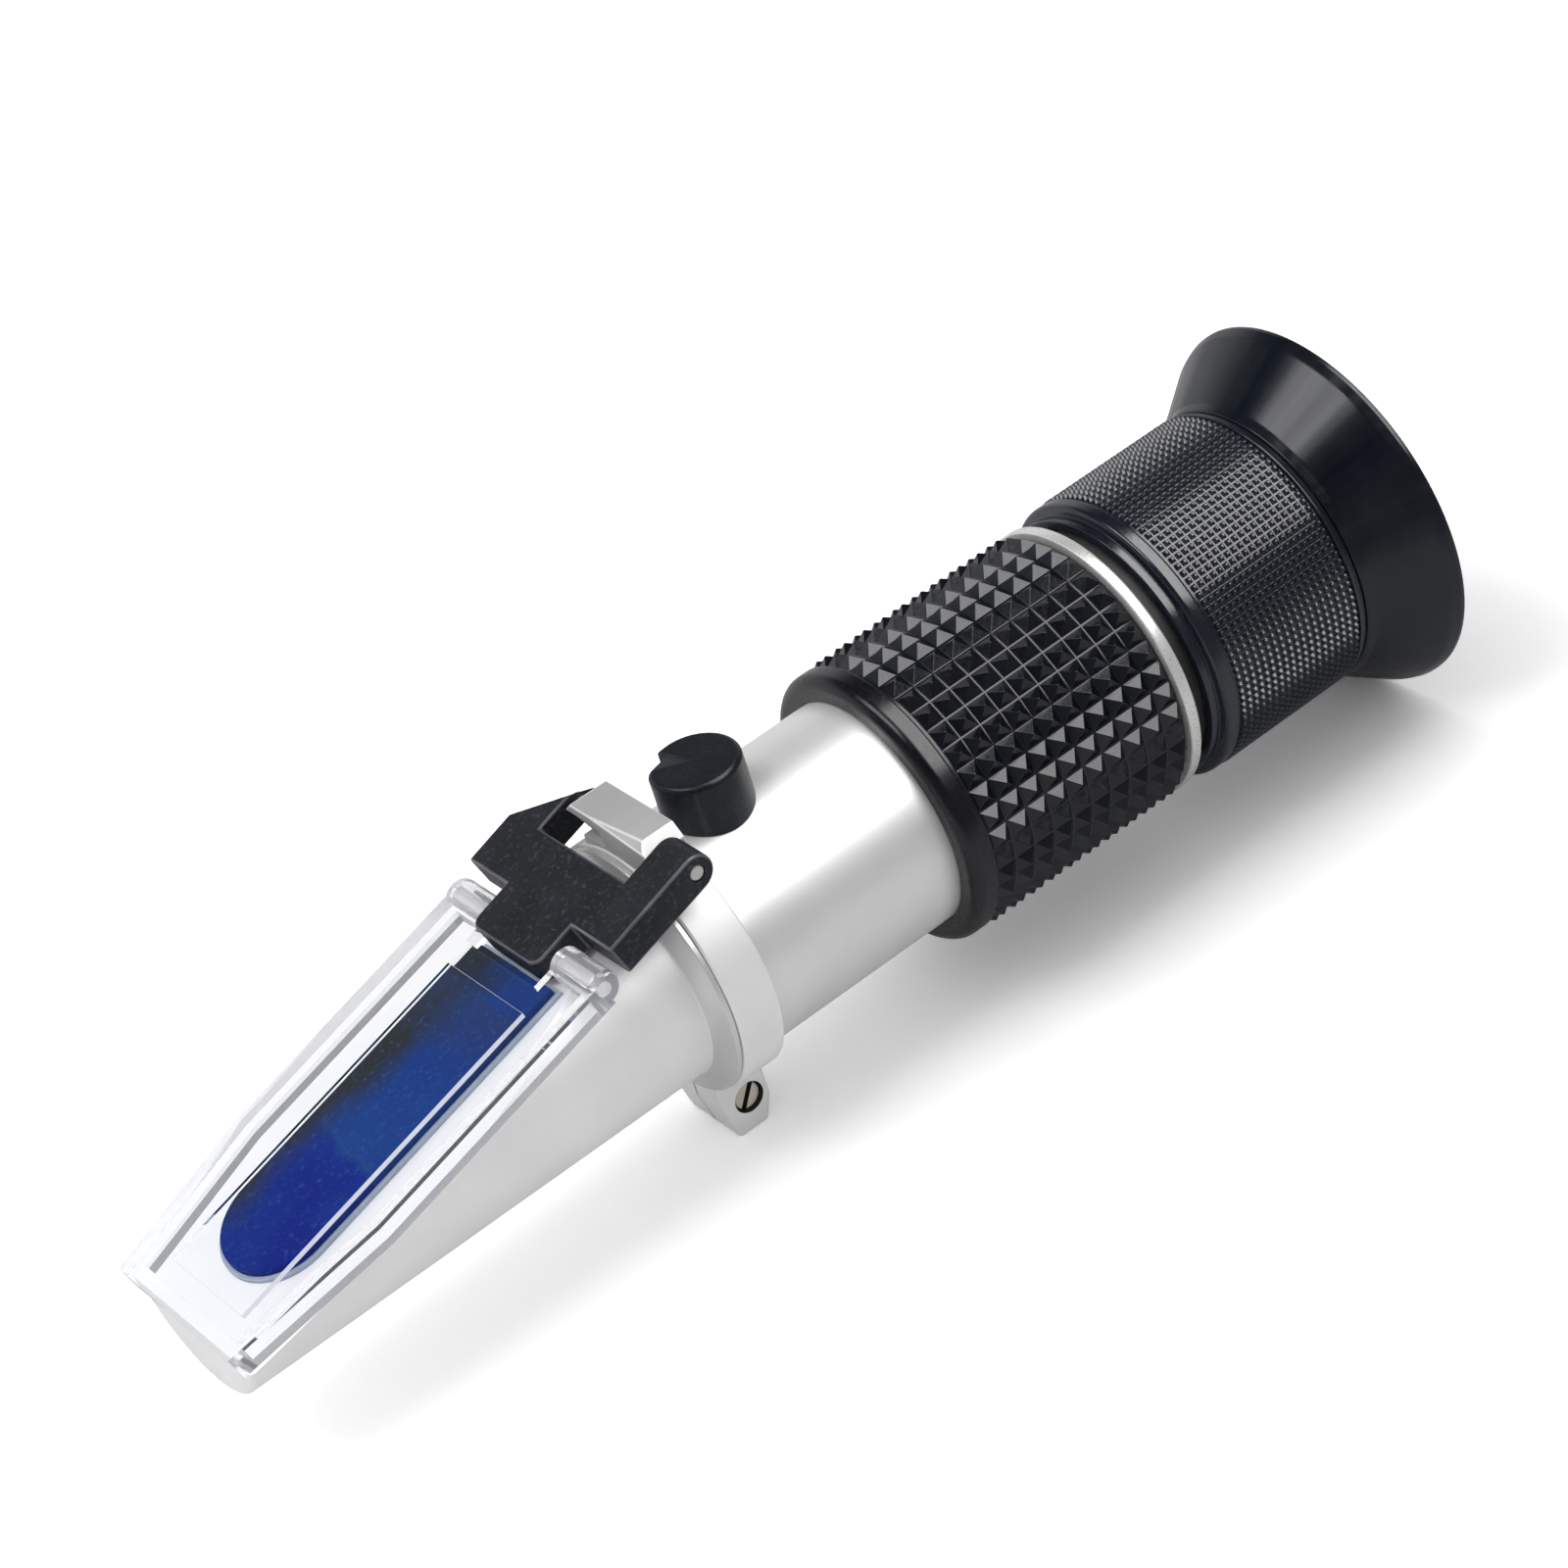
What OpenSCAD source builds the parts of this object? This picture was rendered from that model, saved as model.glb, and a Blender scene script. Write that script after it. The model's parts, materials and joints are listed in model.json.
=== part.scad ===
// Handheld sugar refractometer with a hinged daylight plate, a clamped prism
// head, an internally compensated objective and a turning focus ring.
// The optical axis runs along X, from the prism tip (-X) to the eyecup (+X).
// Z = 0 is the table on which the eyecup rim and the clamp lug rest.

/* [Overall] */
// Total length from the plate's tip to the eyecup rim
total_len = 141; // [140:0.5:142]
// Radius of the eyecup rim, which is also the height of the optical axis
rim_r = 20; // [19.5:0.5:22]

/* [Barrel and grip] */
// Outer radius of the aluminium barrel
barrel_r = 12.2; // [12:0.1:12.4]
// Inner radius of the barrel
barrel_bore_r = 10.65; // [10.5:0.05:10.8]
// Radius over the points of the grip
grip_r = 15; // [14.4:0.1:15.4]
// Radius over the points of the focus ring
focus_r = 15.4; // [15:0.1:15.8]
// Axial travel of the focus ring for one turn; a quarter of it is free in front of the ring
focus_lead = 6; // [5:0.5:6]

/* [Prism head] */
// Radius of the prism box
box_r = 10.7; // [10.5:0.1:11]
// Angle between the prism face and the optical axis
slope = 16; // [15.5:0.5:16.5]
// Width of the prism face
prism_w = 12; // [10:0.5:12]
// Height of the prism face above the box's sloping face
prism_rise = 1.1; // [0.9:0.1:1.1]

/* [Daylight plate] */
// Half-width of the plate along its parallel stretch
plate_hw = 12; // [11.5:0.1:12.4]
// Half-width of the plate at its tip
plate_tip_hw = 9.7; // [9:0.1:10.5]
// Thickness of the plate over its rim
plate_t = 2.8; // [2.6:0.1:3]

/* [Hinge] */
// Half-width of the hinge arm across its ears
arm_hw = 11.45; // [11:0.05:12]
// Thickness of the hinge arm
arm_t = 3.6; // [3.2:0.1:3.8]
// Radius of the hinge pin
hinge_pin_r = 0.8; // [0.6:0.05:1]
// Radius of the plate pin
plate_pin_r = 0.7; // [0.5:0.05:0.9]

/* [Calibration] */
// Radius of the rubber cap
cap_r = 4.5; // [4.2:0.05:4.7]
// Height of the cap's top above the optical axis
cap_top = 17.3; // [17:0.1:18]

/* [Hidden] */

round_fn = 96;
run_gap = 0.05;
half_len = total_len / 2;

// Stations along the optical axis
tip_x = -half_len;
box_tip_x = tip_x + 1.3;
collar_front = -15.3;
collar_rear = -10.5;
grip_front = 12;
grip_rear = 39.2;
trim_rear = 40.5;
focus_front = trim_rear + focus_lead / 4 + 0.3;
focus_rear = 62;
rim_x = half_len;

// Sloping frame: its X runs up the slope from the tip, its Z is the face's normal
face_z = -4.46;
face_t1 = 55.2;
prism_t0 = 7.6;
prism_t1 = 44.6;
seal_w = 0.5;
o_ring_x = -13;

// Hinge, in the optical frame
hinge_x = -13.2;
hinge_z = 15.2;
arm_slope = 18;
window_u = 4.6;
wide_u = 10.6;
neck_u = 15.6;
ear_in = 6.8;
neck_hw = 5.3;
plate_pin_u = 13.2;
plate_pin_x = hinge_x - plate_pin_u * cos(arm_slope);
plate_pin_drop = 0.5;
plate_pin_z = hinge_z - plate_pin_u * sin(arm_slope) - plate_pin_drop;
// The same pin in the sloping frame
plate_pin_t = (plate_pin_x - tip_x) * cos(slope) + (plate_pin_z - face_z) * sin(slope);
plate_pin_n = (plate_pin_z - face_z) * cos(slope) - (plate_pin_x - tip_x) * sin(slope);
ear_r = 1.75;
plate_ear_in = neck_hw + 0.35;
plate_tip_t = 0.9;
plate_kink_t = 18.2;
pane_rear_t = 43.6;
plate_under = 0.3;

// Clamp lug under the collar
collar_r = 13.45;
lug_hw = 4;
lug_front = -15.2;
lug_rear = -9.8;
lug_foot_front = -14.2;
lug_screw_x = -12.1;
lug_screw_z = -16.4;
lug_screw_r = 1;
lug_head_r = 1.45;
lug_hole_r = 1.65;
lug_head_sink = 0.35;
lug_head_t = 1.3;
block_screw_r = 0.8;
block_head_r = 1.1;
block_head_top = barrel_r + 0.75;
block_screw_top = 14.2;

// Calibration screw and its bush
cal_x = -4.4;
cal_screw_r = 1.5;
bush_r = 2.5;
bush_foot = 10.3;
bush_top = 15.3;

// Objective cell, with the clearance left around it for its shift
cell_gap = 0.35;
cell_r = 9.6;
cell_bore_r = 7.6;
cell_lip_r = 6.6;
cell_front = -9.2;
cell_seat = cell_front + 1.6;
cell_rear = -1.4;

// Bimetal strip under the cell and the block that guides its far end
strip_hw = 2.5;
strip_low = -9.2;
strip_high = -8.75;
strip_rear = 9.6;
rivet_x = cell_front + 5;
rivet_r = 0.6;
mount_front = 6;
mount_rear = 13;
mount_screw_x = [8, 11];
mount_screw_r = 0.8;

// Eyepiece
fit_gap = 0.01;
sleeve_front = 30;
sleeve_rear = 53;
sleeve_bore_r = 9.7;
sleeve_r = 13.2;
holder_front = 31;
holder_rear = 35;
tube_front = 42;
tube_rear = 64;
tube_r = sleeve_bore_r - run_gap;
tube_bore_r = 8.3;
tube_lens_r = tube_bore_r - 0.05;
// The collar that carries the lens tube, and the groove for it in the focus ring
tube_collar_x = 55.2;
tube_collar_t = 0.8;
tube_collar_r = 11.8;
groove_front = 55;
groove_rear = 56.1;
field_seat = tube_front + 1.25;
eye_seat = 58.8;
ring_end = 66;
spigot_r = 12.4;

// Everything is drawn around the optical axis and lifted to the rim's radius
module lifted() {
    translate([0, 0, rim_r]) children();
}

// Solid of revolution around the optical axis, from [station, radius] points
module turned(profile) {
    lifted() rotate([0, 90, 0])
        rotate_extrude($fn = round_fn)
            polygon([for (p = profile) [p[1], p[0]]]);
}

// Straight ring between two stations
module ring(x0, x1, r_in, r_out) {
    turned([[x0, r_in], [x1, r_in], [x1, r_out], [x0, r_out]]);
}

// Round rod along the optical axis
module rod_x(x0, x1, r) {
    lifted() translate([x0, 0, 0]) rotate([0, 90, 0])
        cylinder(h = x1 - x0, r = r, $fn = round_fn);
}

// Round rod across the optical axis, centred on Y = 0 when y0 = -y1
module rod_y(x, z, y0, y1, r) {
    lifted() translate([x, y1, z]) rotate([90, 0, 0])
        cylinder(h = y1 - y0, r = r, $fn = 48);
}

// Round rod standing up along Z
module rod_z(x, z0, z1, r) {
    lifted() translate([x, 0, z0]) cylinder(h = z1 - z0, r = r, $fn = 64);
}

// Box between two corners, in the optical frame
module block(low, high) {
    lifted() translate(low) cube(high - low);
}

// Outline in X and Z, extruded across from y0 to y1
module plate_xz(points, y0, y1) {
    lifted() translate([0, y1, 0]) rotate([90, 0, 0])
        linear_extrude(height = y1 - y0) polygon(points);
}

// Frame of the sloping prism face
module on_slope() {
    lifted() translate([tip_x, 0, face_z]) rotate([0, -slope, 0]) children();
}

// Frame of the hinge arm: X points from the hinge pin up the slope
module on_arm() {
    lifted() translate([hinge_x, 0, hinge_z]) rotate([0, -arm_slope, 0]) children();
}

// Outline of the prism face: straight at the hinge end and round at the tip
module prism_outline(grow) {
    hw = prism_w / 2;
    translate([prism_t0 + hw, 0]) circle(r = hw + grow, $fn = 64);
    translate([prism_t0 + hw, -hw - grow])
        square([prism_t1 - prism_t0 - hw + grow, prism_w + 2 * grow]);
}

// Prism-shaped solid: the outline cut by the prism's slanted underside
module prism_body(grow, top_n) {
    shallow = -3.2 - grow;
    deep = -9.2 - grow;
    on_slope() intersection() {
        translate([0, 0, -12]) linear_extrude(height = 12 + top_n) prism_outline(grow);
        translate([0, prism_w, 0]) rotate([90, 0, 0]) linear_extrude(height = 2 * prism_w)
            polygon([
                [prism_t0 - 2, top_n + 1], [prism_t1 + 2, top_n + 1],
                [prism_t1 + 2, deep], [prism_t1 - 6, deep], [prism_t0 - 2, shallow]
            ]);
    }
}

// ---------------------------------------------------------------- prism head

module prism_box() {
    spigot_out = barrel_bore_r - run_gap;
    cone_x = collar_front - 1.6;
    flange_r = 13.2;
    groove_r = 9.6;
    light_bore_r = 6.2;
    light_bore_x = -29;
    color("silver") difference() {
        turned([
            [box_tip_x, 0], [box_tip_x, box_r - 0.4], [box_tip_x + 0.4, box_r],
            [cone_x, box_r], [collar_front - 0.6, flange_r], [collar_front - 0.05, flange_r],
            [collar_front - 0.05, spigot_out], [o_ring_x - 0.6, spigot_out],
            [o_ring_x - 0.6, groove_r], [o_ring_x + 0.6, groove_r], [o_ring_x + 0.6, spigot_out],
            [collar_rear, spigot_out], [collar_rear, 0]
        ]);
        // The sloping face takes away everything above it as far as the cone
        on_slope() translate([-6, -20, 0]) cube([face_t1 + 6, 40, 30]);
        prism_body(seal_w, 1);
        rod_x(light_bore_x, collar_rear + 1, light_bore_r);
    }
}

module prism() {
    color("midnightblue") prism_body(0, prism_rise);
}

// Soft seal between the prism and its pocket
module prism_seal() {
    color("gainsboro") difference() {
        prism_body(seal_w, 0.15);
        prism_body(0, 2);
        on_slope() translate([prism_t1 - 0.01, -prism_w, -14]) cube([3, 2 * prism_w, 13]);
    }
}

module joint_o_ring() {
    wire_r = 0.5;
    color("black") lifted() translate([o_ring_x, 0, 0]) rotate([0, 90, 0])
        rotate_extrude($fn = round_fn) translate([barrel_bore_r - wire_r - 0.03, 0])
            circle(r = wire_r, $fn = 24);
}

// ---------------------------------------------------------------- clamp and hinge

module clamp_collar() {
    slit = 0.4;
    head_seat = -lug_hw + lug_head_sink + lug_head_t;
    color("lightgray") difference() {
        union() {
            ring(collar_front, collar_rear, barrel_r, collar_r);
            plate_xz([
                [lug_front, -barrel_r + 1], [lug_rear, -barrel_r + 1], [lug_rear, -17.5],
                [lug_rear - 1, -rim_r], [lug_foot_front, -rim_r], [lug_front, -15.8]
            ], -lug_hw, lug_hw);
        }
        rod_x(collar_front - 2, collar_rear + 2, barrel_r);
        block([collar_front - 2, -slit / 2, -rim_r - 1], [collar_rear + 2, slit / 2, -barrel_r + 2]);
        rod_y(lug_screw_x, lug_screw_z, -lug_hw - 1, lug_hw + 1, lug_screw_r + run_gap);
        rod_y(lug_screw_x, lug_screw_z, -lug_hw - 1, head_seat, lug_hole_r);
        // Stepped hole for the hinge block's screw
        rod_z(hinge_x, barrel_r - 3, block_head_top, block_head_r + run_gap);
        rod_z(hinge_x, barrel_r, collar_r + 1, block_screw_r + run_gap);
    }
}

module clamp_screw() {
    head_top = -lug_hw + lug_head_sink;
    color("silver") difference() {
        union() {
            rod_y(lug_screw_x, lug_screw_z, head_top, head_top + lug_head_t - 0.05, lug_head_r);
            rod_y(lug_screw_x, lug_screw_z, head_top + 1, lug_hw - 0.3, lug_screw_r);
        }
        // Screwdriver slot
        lifted() translate([lug_screw_x, head_top, lug_screw_z]) rotate([0, -57, 0])
            translate([-3, -1, -0.25]) cube([6, 1.7, 0.5]);
    }
}

module hinge_block() {
    front = hinge_x - 2.1;
    rear = hinge_x + 2.3;
    crown = 17;
    end_hw = 6.6;
    foot_hw = 5;
    foot_top = 13.6;
    head_low = 16;
    recess = 0.9;
    color("gray") difference() {
        union() {
            // Crowned head with its two ends bevelled, cut back under its front edge
            difference() {
                lifted() translate([front, 0, 0]) rotate([90, 0, 90])
                    linear_extrude(height = rear - front) polygon([
                        [-5.3, crown], [5.3, crown], [end_hw, 15.8], [end_hw, 14.5], [3.6, 13.9],
                        [-3.6, 13.9], [-end_hw, 14.5], [-end_hw, 15.8]
                    ]);
                block([front - 1, 1, barrel_r], [front + recess, end_hw + 1, head_low]);
                // Bevel that widens towards the near end
                lifted() translate([front - 0.2, 4.7, crown]) rotate([0, 0, 6]) rotate([0, -40, 0])
                    translate([-5, -16, 0]) cube([5, 20, 5]);
            }
            // Foot that stands on the collar
            block([front + recess, -3.6, barrel_r - 1], [rear - 0.7, 3.6, head_low - 1]);
            block([front + 0.2, -foot_hw, barrel_r - 1.5], [rear - 0.2, foot_hw, foot_top]);
        }
        rod_x(front - 1, rear + 1, collar_r);
        rod_y(hinge_x, hinge_z, -8, 8, hinge_pin_r);
        rod_z(hinge_x, barrel_r, block_screw_top + 0.1, block_screw_r);
    }
}

// Screw that holds the block, driven from inside the collar
module hinge_block_screw() {
    color("silver") union() {
        rod_z(hinge_x, barrel_r + 0.05, block_head_top, block_head_r);
        rod_z(hinge_x, block_head_top - 0.05, block_screw_top, block_screw_r);
    }
}

module hinge_pin() {
    color("silver") rod_y(hinge_x, hinge_z, -arm_hw + 0.1, ear_in + 1.1, hinge_pin_r);
}

module hinge_arm() {
    half = arm_t / 2;
    end_r = half + 0.1;
    color([0.1, 0.1, 0.11]) difference() {
        on_arm() union() {
            translate([-wide_u, -arm_hw, -half]) cube([wide_u, 2 * arm_hw, arm_t]);
            translate([0, arm_hw, 0]) rotate([90, 0, 0])
                cylinder(h = 2 * arm_hw, r = end_r, $fn = 64);
            translate([-neck_u + 1, -neck_hw, -half]) cube([6, 2 * neck_hw, arm_t]);
            translate([-neck_u, -neck_hw + 1, -half]) cube([6, 2 * neck_hw - 2, arm_t]);
            for (side = [-1, 1]) translate([-neck_u + 1, side * (neck_hw - 1), -half])
                cylinder(h = arm_t, r = 1, $fn = 32);
        }
        // Far ear, cut off slantwise
        on_arm() translate([-0.5, ear_in + 0.1, half]) rotate([0, 46, 45.5])
            translate([-10, -10, 0]) cube([20, 20, 12]);
        // Window around the hinge block
        on_arm() translate([-window_u, -ear_in, -6]) cube([window_u + 6, 2 * ear_in, 12]);
        rod_y(hinge_x, hinge_z, -arm_hw - 1, arm_hw + 1, hinge_pin_r + run_gap);
        rod_y(plate_pin_x, plate_pin_z, -arm_hw, arm_hw, plate_pin_r);
    }
}

module plate_pin() {
    end_y = plate_hw - 0.6;
    color("silver") rod_y(plate_pin_x, plate_pin_z, -end_y, end_y, plate_pin_r);
}

// Clear plate: a flat top, a rim all round and a boss that meets the prism
module daylight_plate() {
    rim_w = 1.8;
    pane_t = 1.4;
    boss_hw = 6.1;
    boss_t0 = 4.7;
    boss_t1 = 41.2;
    hollow_rear_t = prism_t1 + 1;
    rear_t = plate_pin_t;
    color([0.8, 0.88, 0.95, 0.5]) difference() {
        on_slope() union() {
            translate([0, 0, plate_under]) linear_extrude(height = plate_t) polygon([
                [plate_tip_t, -plate_tip_hw], [plate_kink_t, -plate_hw], [rear_t, -plate_hw],
                [rear_t, plate_hw], [plate_kink_t, plate_hw], [plate_tip_t, plate_tip_hw]
            ]);
            translate([rear_t, plate_hw, plate_pin_n]) rotate([90, 0, 0])
                cylinder(h = 2 * plate_hw, r = ear_r, $fn = 64);
        }
        // Hollow underside, which leaves the rim and the boss
        on_slope() difference() {
            translate([0, 0, plate_under - 1]) linear_extrude(height = 1 + plate_t - pane_t)
                polygon([
                    [plate_tip_t + rim_w, -plate_tip_hw + rim_w],
                    [plate_kink_t, -plate_hw + rim_w], [hollow_rear_t, -plate_hw + rim_w],
                    [hollow_rear_t, plate_hw - rim_w], [plate_kink_t, plate_hw - rim_w],
                    [plate_tip_t + rim_w, plate_tip_hw - rim_w]
                ]);
            translate([boss_t0, -boss_hw, prism_rise + 0.05])
                cube([boss_t1 - boss_t0, 2 * boss_hw, 4]);
        }
        // Gap between the ears for the arm's neck
        on_slope() translate([pane_rear_t, -plate_ear_in, -4])
            cube([12, 2 * plate_ear_in, 14]);
        rod_y(plate_pin_x, plate_pin_z, -plate_hw + 0.5, plate_hw - 0.5, plate_pin_r + run_gap);
    }
}

// ---------------------------------------------------------------- barrel

module barrel() {
    color("silver") difference() {
        ring(collar_front, trim_rear, barrel_bore_r, barrel_r);
        rod_z(cal_x, 5, barrel_r + 4, bush_r);
        for (x = mount_screw_x) rod_z(x, -barrel_r - 2, -9, mount_screw_r);
    }
}

module calibration_bush() {
    color("goldenrod") difference() {
        rod_z(cal_x, bush_foot, bush_top, bush_r);
        rod_z(cal_x, bush_foot - 1, bush_top + 1, cal_screw_r + run_gap);
    }
}

module calibration_screw() {
    color("silver") difference() {
        rod_z(cal_x, cell_r + cell_gap, bush_top - 0.4, cal_screw_r);
        block([cal_x - 2, -0.25, bush_top - 1.3], [cal_x + 2, 0.25, bush_top]);
    }
}

module calibration_cap() {
    lip = 0.6;
    notch = 1.5;
    foot = 8;
    color([0.1, 0.1, 0.1]) difference() {
        lifted() translate([cal_x, 0, 0]) rotate_extrude($fn = 64) polygon([
            [0, foot], [cap_r, foot], [cap_r, cap_top - lip],
            for (a = [15 : 15 : 90]) [cap_r - lip + lip * cos(a), cap_top - lip + lip * sin(a)],
            [0, cap_top]
        ]);
        rod_x(cal_x - 8, cal_x + 8, barrel_r + 0.1);
        rod_z(cal_x, foot, bush_top + 0.3, bush_r + run_gap);
        // Thumb notch in the top edge
        lifted() translate([cal_x, 0, cap_top - notch]) rotate([0, 0, 105])
            translate([cap_r - notch, 0, 0]) cube([2 * notch, 5, 2 * notch]);
    }
}

// ---------------------------------------------------------------- objective

module objective_cell() {
    color([0.15, 0.15, 0.15]) difference() {
        turned([
            [cell_front, cell_lip_r], [cell_front, cell_r], [cell_rear, cell_r],
            [cell_rear, cell_bore_r], [cell_seat, cell_bore_r], [cell_seat, cell_lip_r]
        ]);
        // Flat under the cell, to which the strip is fastened
        block([cell_front - 1, -4, -12], [cell_rear + 1, 4, strip_high + 0.05]);
        rod_z(rivet_x, -10, -7, rivet_r);
    }
}

// Flat-backed convex lens held against the cell's shoulder
module objective_lens() {
    lens_r = cell_bore_r - 0.05;
    back_x = cell_seat + 0.05;
    edge_t = 2;
    bulge = 1.1;
    color([0.75, 0.85, 0.95, 0.6]) turned([
        [back_x, 0], [back_x, lens_r], [back_x + edge_t, lens_r],
        for (k = [5 : -1 : 0]) [back_x + edge_t + bulge * (1 - pow(k / 6, 2)), lens_r * k / 6]
    ]);
}

module objective_ring() {
    front = cell_seat + 2.35;
    color([0.2, 0.2, 0.2]) ring(front, front + 0.7, cell_lip_r, cell_bore_r - 0.05);
}

// Bimetal strip that carries the cell and shifts it as the temperature changes
module bimetal_strip() {
    color("goldenrod") difference() {
        block([cell_front + 3, -strip_hw, strip_low], [strip_rear, strip_hw, strip_high]);
        rod_z(rivet_x, -10, -7, rivet_r);
    }
}

module strip_rivets() {
    color("silver") union() {
        rod_z(rivet_x, strip_low - 0.55, strip_low, 1.1);
        rod_z(rivet_x, strip_low - 0.05, -7.7, rivet_r);
    }
}

// Slotted block that guides the strip's far end inside the barrel
module strip_mount() {
    slot_hw = strip_hw + 0.4;
    color("silver") difference() {
        intersection() {
            rod_x(mount_front, mount_rear, barrel_bore_r);
            block([mount_front, -4, -12], [mount_rear, 4, -7.6]);
        }
        block([mount_front - 1, -slot_hw, strip_low - cell_gap],
            [strip_rear + 0.6, slot_hw, strip_high + cell_gap]);
        for (x = mount_screw_x) rod_z(x, -barrel_r - 2, -9.6, mount_screw_r);
    }
}

module strip_screws() {
    color("silver") for (x = mount_screw_x)
        rod_z(x, -barrel_bore_r - 0.9, -9.65, mount_screw_r);
}

module light_baffle() {
    front = 19;
    rear = 22;
    wall = 0.8;
    stop_r = 4.5;
    color([0.12, 0.12, 0.12]) turned([
        [front, stop_r], [front, barrel_bore_r - fit_gap], [rear, barrel_bore_r - fit_gap],
        [rear, 9], [front + wall, 9], [front + wall, stop_r]
    ]);
}

// ---------------------------------------------------------------- grip and eyepiece

module grip_sleeve() {
    lip_r = grip_r - 0.3;
    lip = 1.3;
    color([0.1, 0.1, 0.11]) turned([
        [grip_front, barrel_r], [grip_front, lip_r - lip],
        for (a = [75 : -15 : 0])
            [grip_front + lip - lip * sin(a), lip_r - lip + lip * cos(a)],
        [grip_front + 2.7, lip_r], [grip_front + 3, grip_r], [grip_rear - 0.3, grip_r],
        [grip_rear, grip_r - 0.4], [grip_rear, barrel_r]
    ]);
}

module trim_ring() {
    color("white") ring(grip_rear, trim_rear, barrel_r, grip_r - 0.15);
}

module focus_sleeve() {
    color([0.15, 0.15, 0.16]) turned([
        [sleeve_front, sleeve_bore_r], [sleeve_front, barrel_bore_r - fit_gap],
        [trim_rear, barrel_bore_r - fit_gap], [trim_rear, sleeve_r], [sleeve_rear, sleeve_r],
        [sleeve_rear, sleeve_bore_r]
    ]);
}

module reticle_holder() {
    wall = 1;
    color([0.15, 0.15, 0.15]) turned([
        [holder_front, 6.8], [holder_front, sleeve_bore_r - fit_gap],
        [holder_rear, sleeve_bore_r - fit_gap], [holder_rear, 8.1],
        [holder_front + wall, 8.1], [holder_front + wall, 6.8]
    ]);
}

module reticle() {
    color([0.7, 0.8, 0.9, 0.6]) rod_x(holder_front + 1.05, holder_rear - 1.2, 8.05);
}

// Tube that carries the eyepiece lenses, with a collar inside the focus ring
module lens_tube() {
    lip_r = 7.4;
    collar_end = tube_collar_x + tube_collar_t;
    color([0.12, 0.12, 0.12]) turned([
        [tube_front, lip_r], [tube_front, tube_r], [tube_collar_x, tube_r],
        [tube_collar_x, tube_collar_r], [collar_end, tube_collar_r], [collar_end, tube_r],
        [tube_rear, tube_r], [tube_rear, tube_bore_r], [field_seat - 0.05, tube_bore_r],
        [field_seat - 0.05, lip_r]
    ]);
}

module field_lens() {
    edge_t = 1.75;
    bulge = 1.2;
    color([0.75, 0.85, 0.95, 0.6]) turned([
        [field_seat, 0], [field_seat, tube_lens_r], [field_seat + edge_t, tube_lens_r],
        for (k = [5 : -1 : 0])
            [field_seat + edge_t + bulge * (1 - pow(k / 6, 2)), tube_lens_r * k / 6]
    ]);
}

module lens_spacer() {
    color([0.12, 0.12, 0.12]) ring(field_seat + 2.1, eye_seat - 0.3, 7.3, tube_lens_r);
}

module eye_lens() {
    edge_t = 1.8;
    bulge = 1.1;
    color([0.75, 0.85, 0.95, 0.6]) turned([
        for (k = [0 : 5]) [eye_seat - bulge * (1 - pow(k / 6, 2)), tube_lens_r * k / 6],
        [eye_seat, tube_lens_r], [eye_seat + edge_t, tube_lens_r], [eye_seat + edge_t, 0]
    ]);
}

module eye_lens_ring() {
    front = eye_seat + 1.85;
    color([0.12, 0.12, 0.12]) ring(front, front + 1.75, 7.2, tube_bore_r - fit_gap);
}

module focus_ring() {
    neck_r = 14.3;
    flange_r = focus_r - 0.1;
    groove_r = tube_collar_r + 0.4;
    color([0.1, 0.1, 0.11]) turned([
        [focus_front, sleeve_r + run_gap], [focus_front, neck_r], [focus_front + 1, neck_r],
        [focus_front + 1.3, flange_r - 0.3], [focus_front + 1.6, flange_r],
        [focus_front + 2.4, flange_r], [focus_front + 2.7, flange_r - 0.4],
        [focus_front + 3, focus_r], [focus_rear - 1, focus_r],
        [focus_rear, focus_r - 0.5], [focus_rear, spigot_r], [ring_end, spigot_r],
        [ring_end, sleeve_bore_r], [groove_rear, sleeve_bore_r], [groove_rear, groove_r],
        [groove_front, groove_r], [groove_front, sleeve_r + run_gap]
    ]);
}

module eyecup() {
    rim_w = 0.8;
    color([0.09, 0.09, 0.1]) turned([
        [focus_rear + 0.05, spigot_r], [focus_rear + 0.05, focus_r - 0.3],
        [64, 16.4], [66.3, 18], [68.8, 19.5], [rim_x - 0.6, rim_r], [rim_x, rim_r],
        [rim_x, rim_r - rim_w], [68.4, 17.6], [ring_end + 0.6, spigot_r + 1.2],
        [ring_end + 0.1, 11.9], [ring_end + 0.05, 11.9], [ring_end + 0.05, spigot_r]
    ]);
}

prism_box();
prism();
prism_seal();
joint_o_ring();
clamp_collar();
clamp_screw();
hinge_block();
hinge_block_screw();
hinge_pin();
hinge_arm();
plate_pin();
daylight_plate();
barrel();
calibration_bush();
calibration_screw();
calibration_cap();
objective_cell();
objective_lens();
objective_ring();
bimetal_strip();
strip_rivets();
strip_mount();
strip_screws();
light_baffle();
grip_sleeve();
trim_ring();
focus_sleeve();
reticle_holder();
reticle();
lens_tube();
field_lens();
lens_spacer();
eye_lens();
eye_lens_ring();
focus_ring();
eyecup();
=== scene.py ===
import json
import math

import bmesh
import bpy
from mathutils import Matrix, Vector


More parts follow.
